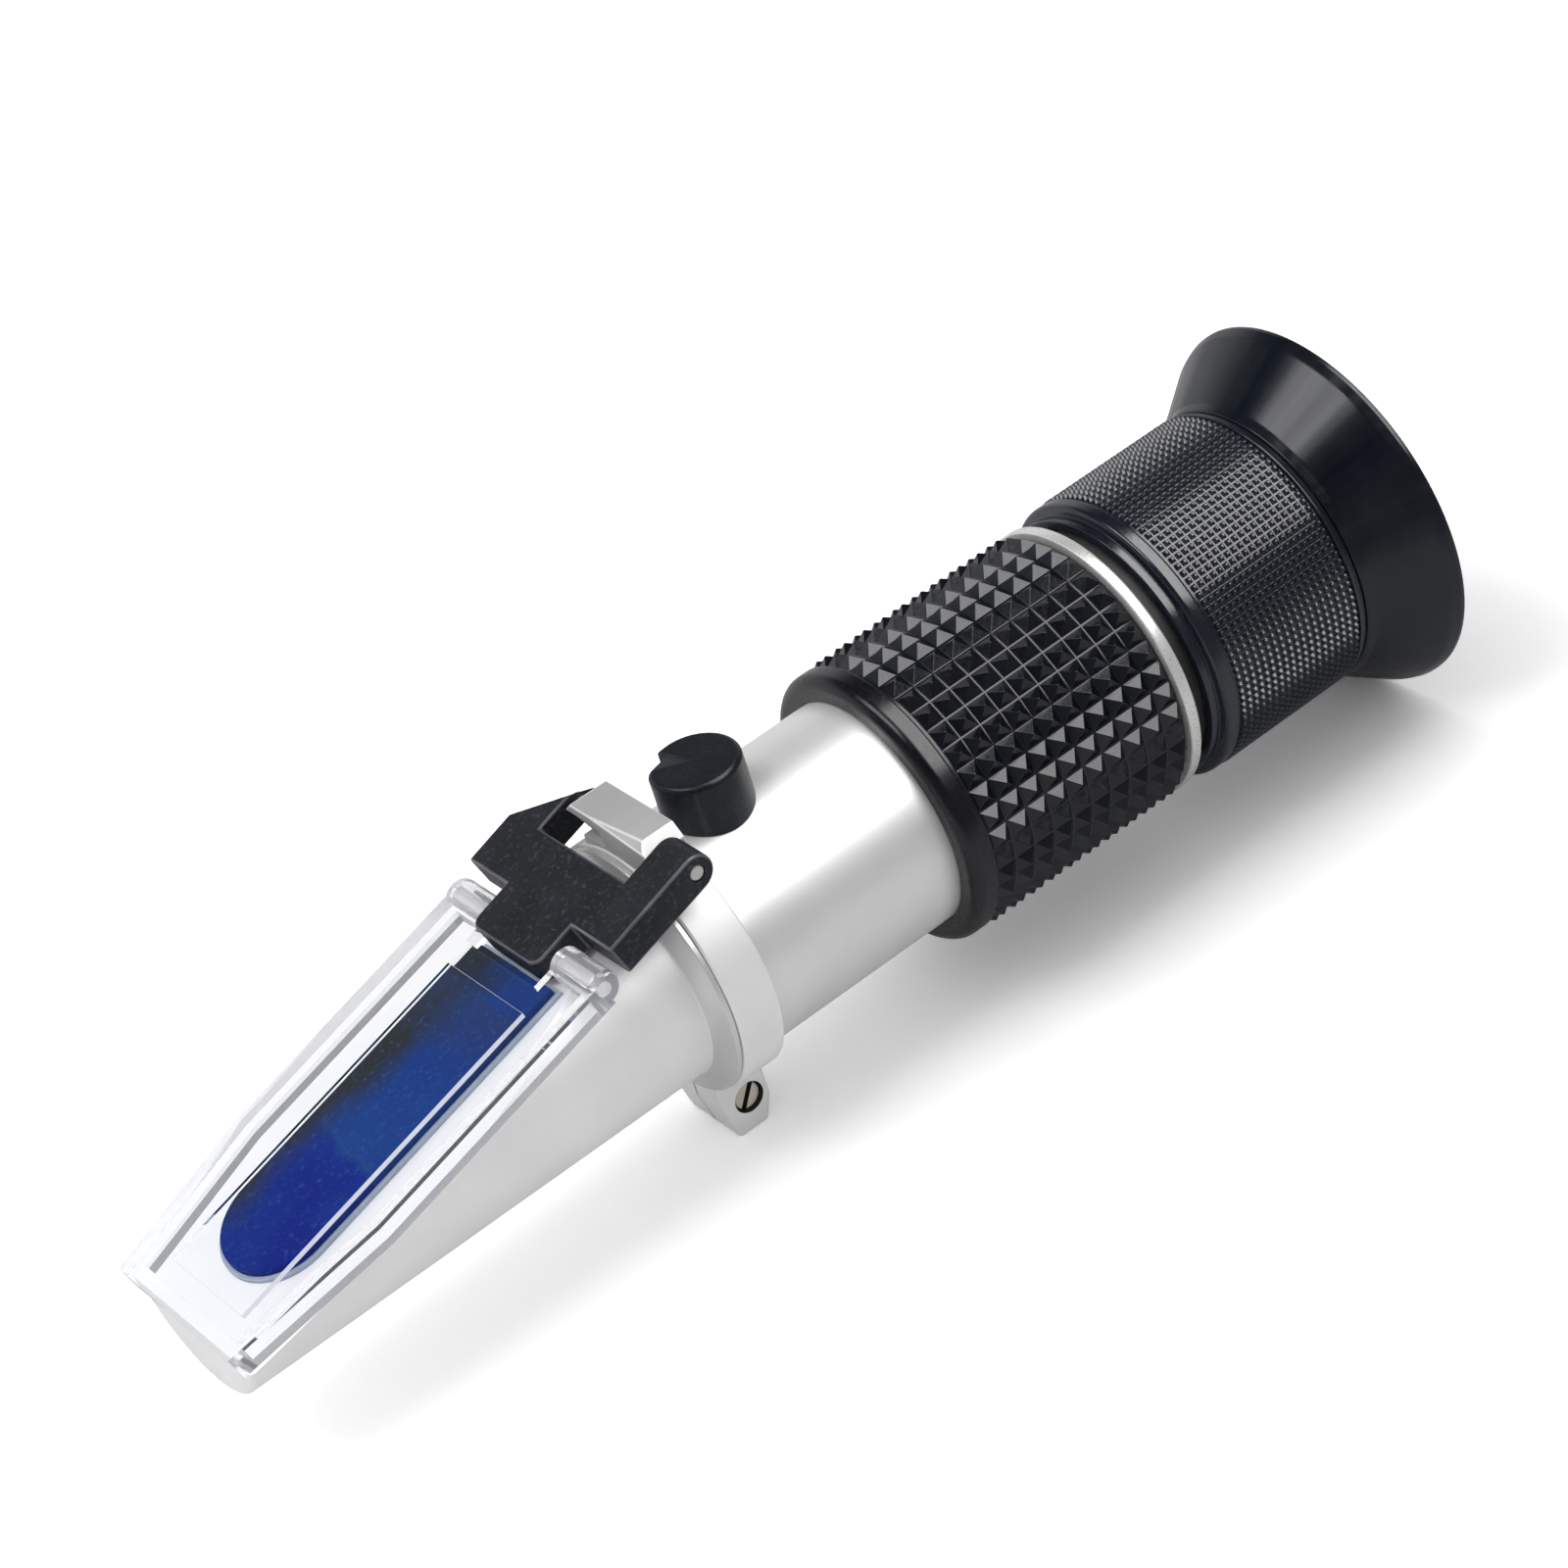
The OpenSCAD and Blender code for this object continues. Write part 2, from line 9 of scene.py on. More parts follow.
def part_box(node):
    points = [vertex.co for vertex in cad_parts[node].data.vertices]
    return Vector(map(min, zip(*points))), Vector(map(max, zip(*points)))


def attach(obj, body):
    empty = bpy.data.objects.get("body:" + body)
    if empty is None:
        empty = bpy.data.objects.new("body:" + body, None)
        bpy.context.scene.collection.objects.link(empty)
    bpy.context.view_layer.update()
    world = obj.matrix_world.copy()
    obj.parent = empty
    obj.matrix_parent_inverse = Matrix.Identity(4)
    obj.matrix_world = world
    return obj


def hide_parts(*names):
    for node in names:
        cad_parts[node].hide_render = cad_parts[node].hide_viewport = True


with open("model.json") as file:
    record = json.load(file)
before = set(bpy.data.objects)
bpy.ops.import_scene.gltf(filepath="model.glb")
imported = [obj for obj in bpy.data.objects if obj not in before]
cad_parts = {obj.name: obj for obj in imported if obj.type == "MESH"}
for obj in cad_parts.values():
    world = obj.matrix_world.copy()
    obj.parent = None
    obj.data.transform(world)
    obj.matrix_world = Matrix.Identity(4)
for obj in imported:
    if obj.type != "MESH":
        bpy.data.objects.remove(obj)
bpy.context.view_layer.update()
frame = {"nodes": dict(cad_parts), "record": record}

# Lengths in this script are millimetres. Meshes are scaled to metres when they are made.
MM = 0.001
ROUND = 192  # segments round the optical axis


def ends(node):
    """Lowest and highest corner of a CAD node, in millimetres."""
    low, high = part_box(node)
    return low / MM, high / MM


def outer_radius(node):
    low, high = ends(node)
    return (high.y - low.y) / 2


# ---------------------------------------------------------------- places, from the frame

BARREL_LOW, BARREL_HIGH = ends("barrel")
AXIS_Z = (BARREL_LOW.z + BARREL_HIGH.z) / 2
BARREL_R = outer_radius("barrel")
BORE_R = 10.65

BOX_LOW, BOX_HIGH = ends("prism_box")
COLLAR_LOW, COLLAR_HIGH = ends("clamp_collar")
RING_FRONT, RING_REAR = BARREL_LOW.x, -10.5

# The sloping face of the prism box
SLOPE = math.radians(16)
SLOPE_ORIGIN = Vector((-70.5, 0, AXIS_Z - 4.46))


def middle(node):
    low, high = ends(node)
    return (low + high) / 2


HINGE = middle("hinge_pin") * Vector((1, 0, 1))
PLATE_PIN = middle("plate_pin")
ARM_SLOPE = math.radians(18)


def tilted(origin, angle):
    """Frame whose X runs up a slope and whose Z is the slope's normal."""
    return Matrix.Translation(origin) @ Matrix.Rotation(-angle, 4, "Y")


ON_SLOPE = tilted(SLOPE_ORIGIN, SLOPE)
ON_ARM = tilted(HINGE, ARM_SLOPE)
LEVEL = Matrix.Identity(4)
ON_AXIS = Matrix.Translation((0, 0, AXIS_Z))


# ---------------------------------------------------------------- mesh tools

def mesh_from(name, verts, faces, place=LEVEL):
    """Closed mesh object from points in millimetres."""
    mesh = bpy.data.meshes.new(name)
    mesh.from_pydata([place @ Vector(v) * MM for v in verts], [], faces)
    bm = bmesh.new()
    bm.from_mesh(mesh)
    bmesh.ops.remove_doubles(bm, verts=bm.verts, dist=1e-7)
    bmesh.ops.recalc_face_normals(bm, faces=bm.faces)
    bm.to_mesh(mesh)
    bm.free()
    obj = bpy.data.objects.new(name, mesh)
    bpy.context.scene.collection.objects.link(obj)
    return obj


def rounded(points, radius, steps=5):
    """Closed outline with an arc at each corner. A point may carry its own radius as a third value."""
    out = []
    count = len(points)
    for i, point in enumerate(points):
        here = Vector(point[:2])
        r = point[2] if len(point) > 2 else radius
        if r <= 0:
            out.append(tuple(here))
            continue
        before = Vector(points[i - 1][:2]) - here
        after = Vector(points[(i + 1) % count][:2]) - here
        turn = before.angle(after)
        if turn > math.pi - 0.02:
            out.append(tuple(here))
            continue
        reach = min(r / math.tan(turn / 2), 0.49 * before.length, 0.49 * after.length)
        r = reach * math.tan(turn / 2)
        start = here + before.normalized() * reach
        end = here + after.normalized() * reach
        bisector = (before.normalized() + after.normalized()).normalized()
        centre = here + bisector * (r / math.sin(turn / 2))
        for k in range(steps + 1):
            flat = start.lerp(end, k / steps)
            out.append(tuple(centre + (flat - centre).normalized() * r))
    return out


def lathe(name, profile, place=ON_AXIS, segments=ROUND):
    """Solid turned from a closed outline of (station, radius) points."""
    verts, faces = [], []
    count = len(profile)
    for s in range(segments):
        angle = 2 * math.pi * s / segments
        for x, r in profile:
            verts.append((x, r * math.sin(angle), r * math.cos(angle)))
    for s in range(segments):
        a, b = s * count, (s + 1) % segments * count
        for i in range(count):
            j = (i + 1) % count
            if profile[i][1] == 0 and profile[j][1] == 0:
                continue
            faces.append((a + i, a + j, b + j, b + i))
    return mesh_from(name, verts, faces, place)


def extruded(name, outline, low, high, place=LEVEL):
    """Outline in X and Y, pulled along Z from low to high."""
    count = len(outline)
    verts = [(x, y, low) for x, y in outline] + [(x, y, high) for x, y in outline]
    faces = [tuple(range(count)), tuple(range(count, 2 * count))]
    faces += [(i, (i + 1) % count, (i + 1) % count + count, i + count) for i in range(count)]
    return mesh_from(name, verts, faces, place)


def rectangle(x0, y0, x1, y1):
    return [(x0, y0), (x1, y0), (x1, y1), (x0, y1)]


def block(name, low, high, place=LEVEL):
    return extruded(name, rectangle(low[0], low[1], high[0], high[1]), low[2], high[2], place)


# Frames that point a rod's own axis along Y or Z
ALONG_Y = Matrix.Rotation(math.pi / 2, 4, "Z")
ALONG_Z = Matrix.Rotation(-math.pi / 2, 4, "Y")


def rod(name, centre, x0, x1, radius, along=ALONG_Y, edge=0.0, segments=64):
    """Turned rod about a line through centre. Its length runs from x0 to x1 along that line."""
    profile = rounded([(x0, 0, 0), (x0, radius), (x1, radius), (x1, 0, 0)], edge, 4)
    return lathe(name, profile, Matrix.Translation(centre) @ along, segments)


def apply_modifiers(obj):
    depsgraph = bpy.context.evaluated_depsgraph_get()
    mesh = bpy.data.meshes.new_from_object(obj.evaluated_get(depsgraph))
    obj.modifiers.clear()
    obj.data = mesh
    return obj


def combine(obj, others, operation):
    """Adds or cuts other solids, which are used up. One with a material gives it to the faces it makes."""
    for other in others:
        modifier = obj.modifiers.new("boolean", "BOOLEAN")
        modifier.operation = operation
        modifier.solver = "EXACT"
        modifier.material_mode = "TRANSFER" if other.data.materials else "INDEX"
        modifier.object = other
        apply_modifiers(obj)
        bpy.data.objects.remove(other)
    return obj


def join(obj, *others):
    return combine(obj, others, "UNION")


def cut(obj, *others):
    return combine(obj, others, "DIFFERENCE")


def soften(obj, width, segments=3, angle=28, materials=()):
    """Rounds the edges that are sharper than angle. A second material goes on the rounded edges."""
    for material in materials:
        obj.data.materials.append(material)
    modifier = obj.modifiers.new("bevel", "BEVEL")
    modifier.width = width * MM
    modifier.segments = segments
    modifier.limit_method = "ANGLE"
    modifier.angle_limit = math.radians(angle)
    modifier.use_clamp_overlap = True
    if materials:
        modifier.material = 1
    return apply_modifiers(obj)


def painted(obj, material):
    obj.data.materials.append(material)
    return obj


def smooth(obj, angle=34):
    """Smooth shading that keeps broad faces flat and edges above the angle sharp."""
    obj.data.shade_smooth()
    obj.data.set_sharp_from_angle(angle=math.radians(angle))
    modifier = obj.modifiers.new("normals", "WEIGHTED_NORMAL")
    modifier.keep_sharp = True
    return apply_modifiers(obj)


def place_piece(obj, body, material, slot, *replaced):
    """Gives a finished piece its material if it has none, puts it on its body and hides the CAD nodes that it
    stands for.
    """
    if not obj.data.materials:
        obj.data.materials.append(material)
    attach(obj, body)
    if replaced:
        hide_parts(*replaced)
    return obj


# ---------------------------------------------------------------- materials

class Shader:
    """A principled material with a few shorthand calls for its node tree."""

    def __init__(self, name, **settings):
        self.material = bpy.data.materials.new(name)
        self.material.use_nodes = True
        self.tree = self.material.node_tree
        self.main = self.tree.nodes["Principled BSDF"]
        self.coordinates = self.node("ShaderNodeTexCoord").outputs["Object"]
        for key, value in settings.items():
            self.set(key, value)

    def node(self, kind, **values):
        made = self.tree.nodes.new(kind)
        for key, value in values.items():
            setattr(made, key, value)
        return made

    def link(self, source, target):
        self.tree.links.new(source, target)

    def set(self, key, value):
        if isinstance(value, tuple) and len(value) == 3:
            value = (*value, 1)
        self.main.inputs[key.replace("_", " ")].default_value = value

    def noise(self, size, detail=3.0, stretch=(1, 1, 1)):
        """Noise whose features are about size millimetres across."""
        mapping = self.node("ShaderNodeMapping")
        mapping.inputs["Scale"].default_value = stretch
        self.link(self.coordinates, mapping.inputs["Vector"])
        texture = self.node("ShaderNodeTexNoise")
        texture.inputs["Scale"].default_value = 1 / (size * MM)
        texture.inputs["Detail"].default_value = detail
        self.link(mapping.outputs["Vector"], texture.inputs["Vector"])
        return texture.outputs["Fac"]

    def ramp(self, source, stops):
        """Colour or grey from a value, by (position, colour) stops."""
        ramp = self.node("ShaderNodeValToRGB")
        elements = ramp.color_ramp.elements
        while len(elements) < len(stops):
            elements.new(0.5)
        for element, (position, colour) in zip(elements, stops):
            if not isinstance(colour, tuple):
                colour = (colour, colour, colour)
            element.position = position
            element.color = (*colour, 1)
        self.link(source, ramp.inputs["Fac"])
        return ramp.outputs["Color"]

    def mix(self, factor, a, b):
        """Mix of two colours, each a tuple or a socket."""
        mixer = self.node("ShaderNodeMix", data_type="RGBA")
        for socket, value in ((mixer.inputs[0], factor), (mixer.inputs[6], a), (mixer.inputs[7], b)):
            if isinstance(value, bpy.types.NodeSocket):
                self.link(value, socket)
            elif isinstance(value, tuple):
                socket.default_value = (*value, 1)
            else:
                socket.default_value = value
        return mixer.outputs[2]

    def maths(self, operation, a, b=0.0):
        made = self.node("ShaderNodeMath", operation=operation)
        for socket, value in zip(made.inputs, (a, b)):
            if isinstance(value, bpy.types.NodeSocket):
                self.link(value, socket)
            else:
                socket.default_value = value
        return made.outputs[0]

    def along(self, direction, offset=0.0):
        """Distance in millimetres along a direction, less an offset."""
        dot = self.node("ShaderNodeVectorMath", operation="DOT_PRODUCT")
        self.link(self.coordinates, dot.inputs[0])
        dot.inputs[1].default_value = Vector(direction) / MM
        return self.maths("SUBTRACT", dot.outputs["Value"], offset)

    def use(self, key, source):
        self.link(source, self.main.inputs[key])

    def bump(self, *layers):
        """Bump from (source, depth in millimetres) layers."""
        last = None
        for source, depth in layers:
            bump = self.node("ShaderNodeBump")
            bump.inputs["Strength"].default_value = 1
            bump.inputs["Distance"].default_value = depth * MM
            self.link(source, bump.inputs["Height"])
            if last:
                self.link(last, bump.inputs["Normal"])
            last = bump.outputs["Normal"]
        self.link(last, self.main.inputs["Normal"])

    def streaks(self, width):
        """Noise that changes only round the optical axis, in streaks about width radians wide."""
        split = self.node("ShaderNodeSeparateXYZ")
        self.link(self.coordinates, split.inputs[0])
        height = self.maths("SUBTRACT", split.outputs["Z"], AXIS_Z * MM)
        texture = self.node("ShaderNodeTexNoise", noise_dimensions="1D")
        texture.inputs["Scale"].default_value = 1 / width
        texture.inputs["Detail"].default_value = 1
        self.link(self.maths("ARCTAN2", split.outputs["Y"], height), texture.inputs["W"])
        return texture.outputs["Fac"]

    def edges(self):
        """Convexity of the surface, near 1 on outer edges and 0.5 on flats."""
        return self.node("ShaderNodeNewGeometry").outputs["Pointiness"]


def metal(name, light, dark, roughness, grain, depth, stretch=(1, 1, 1), metallic=1.0):
    """Metal with a fine blasted, turned or brushed grain and a little tone variation."""
    shader = Shader(name, Metallic=metallic)
    tone = shader.ramp(shader.noise(7, 2), [(0.3, dark), (0.7, light)])
    shader.use("Base Color", tone)
    fine = shader.noise(grain, 4, stretch)
    shader.use("Roughness", shader.ramp(fine, [(0.25, roughness - 0.05), (0.75, roughness + 0.06)]))
    shader.bump((fine, depth))
    return shader.material


def dark_plastic(name, base, light, roughness, grain, depth, specks=0.0, specular=0.5, streaks=0.0):
    """Black plastic or rubber with a moulded grain, paler specks and paler convex edges."""
    shader = Shader(name, Specular_IOR_Level=specular)
    tone = shader.mix(shader.ramp(shader.noise(3.5, 4), [(0.4, 0.0), (0.75, 1.0)]), base, light)
    pale = tuple(min(1.0, 3.0 * c + 0.02) for c in light)
    if specks:
        tone = shader.mix(shader.ramp(shader.noise(0.45, 2), [(0.56, 0.0), (0.7, specks)]), tone, pale)
    # The colour grows paler on convex edges
    edge_paleness = shader.ramp(shader.edges(), [(0.53, 0.0), (0.62, 0.25)])
    shader.use("Base Color", shader.mix(edge_paleness, tone, pale))
    fine = shader.noise(grain, 3)
    spread = shader.streaks(0.12) if streaks else fine
    shader.use("Roughness", shader.ramp(spread, [(0.3, roughness - 0.04), (0.7, roughness + 0.05 + streaks)]))
    shader.bump((fine, depth))
    return shader.material


def clear_plastic(name, tint, roughness=0.015, milk=0.0):
    """Clear moulded plastic that lets light through to what lies under it. Milk is its share of haze."""
    shader = Shader(name, Base_Color=tint, Roughness=roughness, IOR=1.49, Transmission_Weight=1.0)
    output = shader.tree.nodes["Material Output"]
    haze = shader.node("ShaderNodeBsdfDiffuse")
    haze.inputs["Color"].default_value = (0.95, 0.955, 0.985, 1)
    body = shader.node("ShaderNodeMixShader")
    body.inputs[0].default_value = milk
    shader.link(shader.main.outputs[0], body.inputs[1])
    shader.link(haze.outputs[0], body.inputs[2])
    clear = shader.node("ShaderNodeBsdfTransparent")
    clear.inputs["Color"].default_value = (0.97, 0.975, 0.99, 1)
    path = shader.node("ShaderNodeLightPath")
    through = shader.maths("MAXIMUM", path.outputs["Is Shadow Ray"], path.outputs["Is Diffuse Ray"])
    mixer = shader.node("ShaderNodeMixShader")
    shader.link(through, mixer.inputs[0])
    shader.link(body.outputs[0], mixer.inputs[1])
    shader.link(clear.outputs[0], mixer.inputs[2])
    shader.link(mixer.outputs[0], output.inputs["Surface"])
    return shader.material


def blue_prism():
    """Dark glass: royal blue, olive brown along the far side and slate at the hinge end."""
    shader = Shader("prism_glass", Roughness=0.4, Specular_IOR_Level=0.02)
    up_slope = (math.cos(SLOPE), 0, math.sin(SLOPE))
    length = shader.along(up_slope, SLOPE_ORIGIN.dot(Vector(up_slope)))
    across = shader.along((0, 1, 0))
    drift = shader.maths("MULTIPLY", shader.maths("SUBTRACT", shader.noise(7, 3), 0.5), 7.0)
    royal = (0.0025, 0.014, 0.19)
    cloud = shader.ramp(shader.noise(9, 2), [(0.4, 0.0), (0.62, 1.0)])
    sheen = shader.mix(cloud, royal, (0.004, 0.027, 0.21))
    # Steel blue comes in over the hinge half, across a narrow border
    drift_part = shader.maths("MULTIPLY", drift, 0.05)
    steel_at = shader.maths("ADD", shader.maths("MULTIPLY", length, 0.045), drift_part)
    steel = shader.ramp(steel_at, [(0.95, 0.0), (1.0, 0.85), (1.0, 0.5)])
    shade = shader.mix(steel, sheen, (0.012, 0.06, 0.21))
    # Olive brown lies along the far side between the tip and the hinge end
    edge_at = shader.maths("ADD", shader.maths("ADD", across, drift), shader.maths("MULTIPLY", length, 0.12))
    olive = shader.ramp(shader.maths("MULTIPLY", edge_at, 0.1), [(0.42, 0.0), (0.78, 0.95)])
    shade = shader.mix(olive, shade, (0.022, 0.026, 0.021))
    # Slate under the rear edge of the plate's boss
    slate_at = shader.maths("MULTIPLY", shader.maths("ADD", length, drift), 0.02)
    slate = shader.ramp(slate_at, [(0.66, 0.0), (0.78, 0.6), (0.81, 0.6), (0.83, 0.1)])
    shade = shader.mix(slate, shade, (0.022, 0.038, 0.1))
    specks = shader.ramp(shader.noise(0.5, 2), [(0.56, 0.0), (0.76, 0.45)])
    shade = shader.mix(specks, shade, (0.04, 0.09, 0.3))
    shader.use("Base Color", shade)
    return shader.material


def lens(name, tint):
    """Coated lens glass."""
    shader = Shader(name, Base_Color=tint, Roughness=0.01, IOR=1.52, Transmission_Weight=1.0)
    shader.set("Coat_Weight", 0.5)
    shader.set("Coat_Tint", (0.55, 0.6, 1.0))
    shader.bump((shader.noise(12, 1), 0.002))
    return shader.material


CAST = metal("cast_alloy", (0.85, 0.85, 0.84), (0.8, 0.8, 0.79), 0.5, 0.16, 0.006, metallic=0.33)
FACE = metal("milled_face", (0.9, 0.9, 0.9), (0.87, 0.87, 0.87), 0.5, 0.16, 0.004, metallic=0.05)
# Painted shade: a darker, glossier copy of the casting for the flange and its cone
SHADED_FLANGE = metal("flange_alloy_painted_shade", (0.78, 0.78, 0.77), (0.7, 0.7, 0.69), 0.35, 0.14, 0.004, metallic=0.6)
SATIN = metal("satin_alloy", (0.9, 0.9, 0.89), (0.86, 0.86, 0.85), 0.43, 0.14, 0.003, metallic=0.66)
MACHINED = metal(
    "machined_alloy", (0.5, 0.5, 0.49), (0.43, 0.43, 0.425), 0.42, 0.12, 0.004, (1, 0.12, 1), 0.35)
# Painted highlight: a pale copy of the machined alloy for the hinge block's rounded edges
MACHINED_EDGE_HIGHLIGHT = metal("machined_alloy_painted_highlight", (0.9, 0.9, 0.89), (0.8, 0.8, 0.79), 0.3, 0.12, 0.002, metallic=0.4)
STEEL = metal("steel", (0.66, 0.65, 0.62), (0.56, 0.55, 0.52), 0.3, 0.1, 0.002, metallic=0.7)
SCREW = metal("screw_steel", (0.78, 0.72, 0.62), (0.62, 0.56, 0.46), 0.34, 0.1, 0.003, metallic=0.5)
BRASS = metal("brass", (0.74, 0.56, 0.26), (0.6, 0.45, 0.2), 0.28, 0.12, 0.002)
TRIM = metal("trim_white", (0.82, 0.82, 0.8), (0.72, 0.72, 0.7), 0.3, 0.3, 0.002, metallic=0.55)
ARM_BLACK = dark_plastic(
    "black_plastic", (0.009, 0.0105, 0.0145), (0.015, 0.017, 0.022), 0.46, 0.3, 0.012, 0.4, 0.25)
# Painted highlight: a paler copy of the black plastic for the hinge arm's rounded edges
ARM_EDGE_HIGHLIGHT = dark_plastic("black_plastic_painted_highlight", (0.05, 0.053, 0.062), (0.11, 0.112, 0.125), 0.34, 0.3, 0.004)
GRIP_BLACK = dark_plastic(
    "grip_rubber", (0.003, 0.004, 0.0075), (0.005, 0.0065, 0.0115), 0.2, 0.5, 0.001, 0, 0.5)
GRIP_LIP = dark_plastic("grip_rubber_lip", (0.003, 0.0035, 0.0055), (0.005, 0.0055, 0.008), 0.24, 0.5, 0.001)
FOCUS_BLACK = dark_plastic(
    "focus_plastic", (0.004, 0.0065, 0.013), (0.0075, 0.011, 0.02), 0.2, 0.4, 0.001, 0, 0.75)
EYECUP_BLACK = dark_plastic(
    "eyecup_rubber", (0.003, 0.0048, 0.009), (0.006, 0.0085, 0.014), 0.19, 0.5, 0.001, streaks=0.04)
CAP_BLACK = dark_plastic(
    "cap_rubber", (0.004, 0.006, 0.01), (0.008, 0.0105, 0.016), 0.32, 0.35, 0.008, 0.2, 0.35)
# Black for the instrument's insides; it also stands as painted shade in the clamp screw's slot and round its
# head
INNER_BLACK_AND_SHADE = dark_plastic("inner_black", (0.008, 0.008, 0.009), (0.012, 0.012, 0.013), 0.6, 0.3, 0.006)
SEAL_GREY = dark_plastic("seal", (0.3, 0.36, 0.46), (0.36, 0.42, 0.52), 0.5, 0.3, 0.004)
ACRYLIC = clear_plastic("clear_acrylic", (0.99, 0.992, 1.0))
ACRYLIC_RIM = clear_plastic("clear_acrylic_rim", (0.985, 0.99, 1.0), 0.03, 0.12)
# Painted highlight: pale plastic for thin lines on the clear plate's rounded edges
ACRYLIC_EDGE_HIGHLIGHT = dark_plastic("acrylic_painted_highlight", (0.8, 0.83, 0.95), (0.9, 0.92, 1.0), 0.5, 0.3, 0.002)
PRISM_BLUE = blue_prism()
LENS_GLASS = lens("lens_glass", (0.93, 0.97, 1.0))

CAD_MATERIALS = {
    "cast_alloy": CAST, "satin_alloy": SATIN, "machined_alloy": MACHINED, "steel": STEEL,
    "brass": BRASS, "prism_glass": PRISM_BLUE, "lens_glass": LENS_GLASS, "clear_acrylic": ACRYLIC,
    "seal": SEAL_GREY, "seal_black": INNER_BLACK_AND_SHADE, "black_plastic": ARM_BLACK,
    "inner_black": INNER_BLACK_AND_SHADE, "cap_rubber": CAP_BLACK, "grip_rubber": GRIP_BLACK,
    "focus_plastic": FOCUS_BLACK, "eyecup_rubber": EYECUP_BLACK, "trim_white": TRIM,
}


def dress_cad_nodes():
    """Every CAD node takes the material of its slot. Most visible ones are replaced further on."""
    slots = {part["node"]: part["material_slot"] for part in frame["record"]["subparts"]}
    for name, obj in frame["nodes"].items():
        for material_slot in obj.material_slots:
            material_slot.material = CAD_MATERIALS[slots[name]]


# ---------------------------------------------------------------- prism head

def make_prism_box():
    box_r = 10.7
    flange_r = 13.2
    flange_x = RING_FRONT - 0.6
    piece = lathe("prism_box_casting", rounded([
        (BOX_LOW.x, 0, 0), (BOX_LOW.x, box_r, 0.5), (flange_x - 1.0, box_r, 0.25),
        (flange_x, flange_r, 0.12), (RING_FRONT - 0.05, flange_r, 0.1), (RING_FRONT - 0.05, 9, 0),
        (BOX_HIGH.x, 9, 0), (BOX_HIGH.x, 0, 0),
    ], 0.1))
    face_end = 56.4
    cut(piece, block("above_face", (-6, -20, 0), (face_end, 20, 30), ON_SLOPE))
    cut(piece, extruded("pocket", prism_outline(SEAL_W), -1.5, 2, ON_SLOPE))
    soften(piece, 0.18, 3, 32)
    # The flange and its cone take the darker flange metal, as painted shade
    for material in (CAST, SHADED_FLANGE, FACE):
        piece.data.materials.append(material)
    face_normal = ON_SLOPE.to_3x3() @ Vector((0, 0, 1))
    for face in piece.data.polygons:
        on_face = face.normal.dot(face_normal) > 0.999
        face.material_index = 1 if face.center.x / MM > flange_x - 0.95 else 2 if on_face else 0
    return place_piece(smooth(piece, 30), "barrel_body", CAST, "cast_alloy", "prism_box")


PRISM_W = 12.0
PRISM_T0, PRISM_T1 = 7.6, 44.6
PRISM_RISE = 1.1
SEAL_W = 0.5


def prism_outline(grow):
    """Outline of the prism's face: straight at the hinge end and round at the tip."""
    half = PRISM_W / 2
    centre_t = PRISM_T0 + half
    steps = 32
    arc = [math.radians(90 + 180 * k / steps) for k in range(steps + 1)]
    tip = [(centre_t + (half + grow) * math.cos(a), (half + grow) * math.sin(a)) for a in arc]
    return tip + [(PRISM_T1 + grow, -half - grow), (PRISM_T1 + grow, half + grow)]


def make_prism():
    piece = extruded("prism_block", prism_outline(0), -1.45, PRISM_RISE, ON_SLOPE)
    soften(piece, 0.15, 3, 40)
    place_piece(smooth(piece, 30), "barrel_body", PRISM_BLUE, "prism_glass", "prism")
    seal = extruded("prism_bezel", prism_outline(SEAL_W - 0.02), -1.4, 0.4, ON_SLOPE)
    cut(seal, extruded("hole", prism_outline(0.01), -3, 3, ON_SLOPE))
    soften(seal, 0.1, 2, 40)
    place_piece(smooth(seal, 30), "barrel_body", SEAL_GREY, "seal", "prism_seal")


# ---------------------------------------------------------------- clamp

LUG_HW = 4.0
HEAD_TOP = ends("clamp_screw")[0].y
LUG_SCREW = middle("clamp_screw")
COLLAR_R = 13.45


def make_collar():
    front, rear = RING_FRONT + 0.03, RING_REAR
    piece = lathe("clamp_collar_ring", rounded([
        (front, BARREL_R + 0.02, 0.05), (front, COLLAR_R, 0.22),
        (rear, COLLAR_R, 0.22), (rear, BARREL_R + 0.02, 0.05),
    ], 0.1))
    lug_front, lug_rear = COLLAR_LOW.x + 0.1, COLLAR_HIGH.x
    lug = extruded("lug", rounded([
        (lug_front, -BARREL_R, 0), (lug_rear, -BARREL_R, 0), (lug_rear, -17.6, 0.5),
        (lug_rear - 1.0, -AXIS_Z, 0.5), (lug_front + 1.0, -AXIS_Z, 0.3), (lug_front, -15.8, 0.3),
    ], 0.4), -LUG_HW, LUG_HW, ON_AXIS @ Matrix.Rotation(math.pi / 2, 4, "X"))
    soften(lug, 0.3, 4, 40)
    cut(lug, rod("inside", (0, 0, AXIS_Z), -30, 0, BARREL_R + 0.3, LEVEL, segments=ROUND))
    join(painted(piece, CAST), lug)
    # The screw hole's walls take the black material: painted shade in the gap round the screw head
    cut(piece,
        block("slit", (front - 2, -0.2, 0), (rear + 2, 0.2, AXIS_Z - BARREL_R + 2)),
        painted(rod("screw_hole", LUG_SCREW, -LUG_HW - 1, HEAD_TOP + 1.3, 1.65), INNER_BLACK_AND_SHADE),
        rod("screw_thread", LUG_SCREW, -LUG_HW, LUG_HW + 1, 1.05))
    soften(piece, 0.12, 2, 45)
    return place_piece(smooth(piece, 32), "barrel_body", CAST, "cast_alloy", "clamp_collar")


